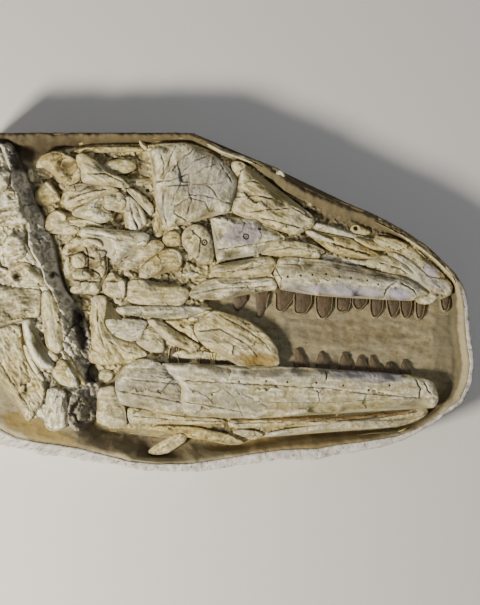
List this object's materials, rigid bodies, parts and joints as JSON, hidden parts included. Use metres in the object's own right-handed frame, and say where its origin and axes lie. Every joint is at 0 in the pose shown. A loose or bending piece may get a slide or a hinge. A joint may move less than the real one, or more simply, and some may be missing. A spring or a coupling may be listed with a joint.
{
  "type": "fossil mosasaur skull",
  "caption": "Fossil skull and jaws of a large marine reptile, with neck and shoulder bones, lying in relief on a slab of tan matrix held in a white plaster field jacket.",
  "frame": {"origin": "on the flat underside of the plaster jacket, at the middle of the slab's length and width", "axes": "+X towards the snout, +Y from the lower jaw towards the skull roof, +Z out of the bone face"},
  "size_m": [1.3, 0.88, 0.1703],
  "materials": {
    "plaster": "matt plaster bandage",
    "chalk_matrix": "matt scraped chalky rock",
    "pale_bone": "matt fossil bone",
    "cream_bone": "matt fossil bone",
    "ochre_bone": "matt iron-stained fossil bone"
  },
  "bodies": {
    "root": {"plaster_jacket": "plaster", "matrix": "chalk_matrix", "dentary": "pale_bone", "surangular": "pale_bone", "articular": "cream_bone", "angular": "cream_bone", "splenial": "cream_bone", "lower_margin": "pale_bone", "jaw_splint": "cream_bone", "prearticular": "ochre_bone", "loose_rib": "cream_bone", "jugal_bar": "pale_bone", "coronoid_plate": "cream_bone", "transverse_lobe": "pale_bone", "ectopterygoid": "cream_bone", "palatine": "cream_bone", "pterygoid": "cream_bone", "vomer": "ochre_bone", "maxilla": "pale_bone", "maxilla_rear": "pale_bone", "jugal": "cream_bone", "lacrimal": "cream_bone", "prefrontal": "pale_bone", "nasal_roof": "cream_bone", "nasal_bar": "pale_bone", "narial_plate": "ochre_bone", "septomaxilla": "cream_bone", "premaxilla": "pale_bone", "snout_plate": "cream_bone", "frontal": "pale_bone", "orbit_plate": "cream_bone", "postorbital_bar": "ochre_bone", "temporal_bar": "pale_bone", "squamosal": "cream_bone", "quadrate": "ochre_bone", "parietal_ramus": "cream_bone", "prootic": "pale_bone", "parietal_plate": "cream_bone", "arch_outer": "cream_bone", "arch_inner": "pale_bone", "parietal_ledge": "ochre_bone", "parietal_block": "cream_bone", "postorbital": "cream_bone", "braincase": "cream_bone", "exoccipital": "cream_bone", "basisphenoid": "ochre_bone", "pterygoid_root": "cream_bone", "atlas": "ochre_bone", "axis_arch": "cream_bone", "neck_vertebra_a": "pale_bone", "neck_vertebra_b": "pale_bone", "neck_vertebra_c": "pale_bone", "neck_vertebra_d": "cream_bone", "long_rib": "pale_bone", "scapula": "cream_bone", "coracoid": "cream_bone", "humerus": "cream_bone", "rib_fragment": "cream_bone", "cliff_plate": "ochre_bone", "limb_end": "pale_bone"}
  },
  "joints": []
}
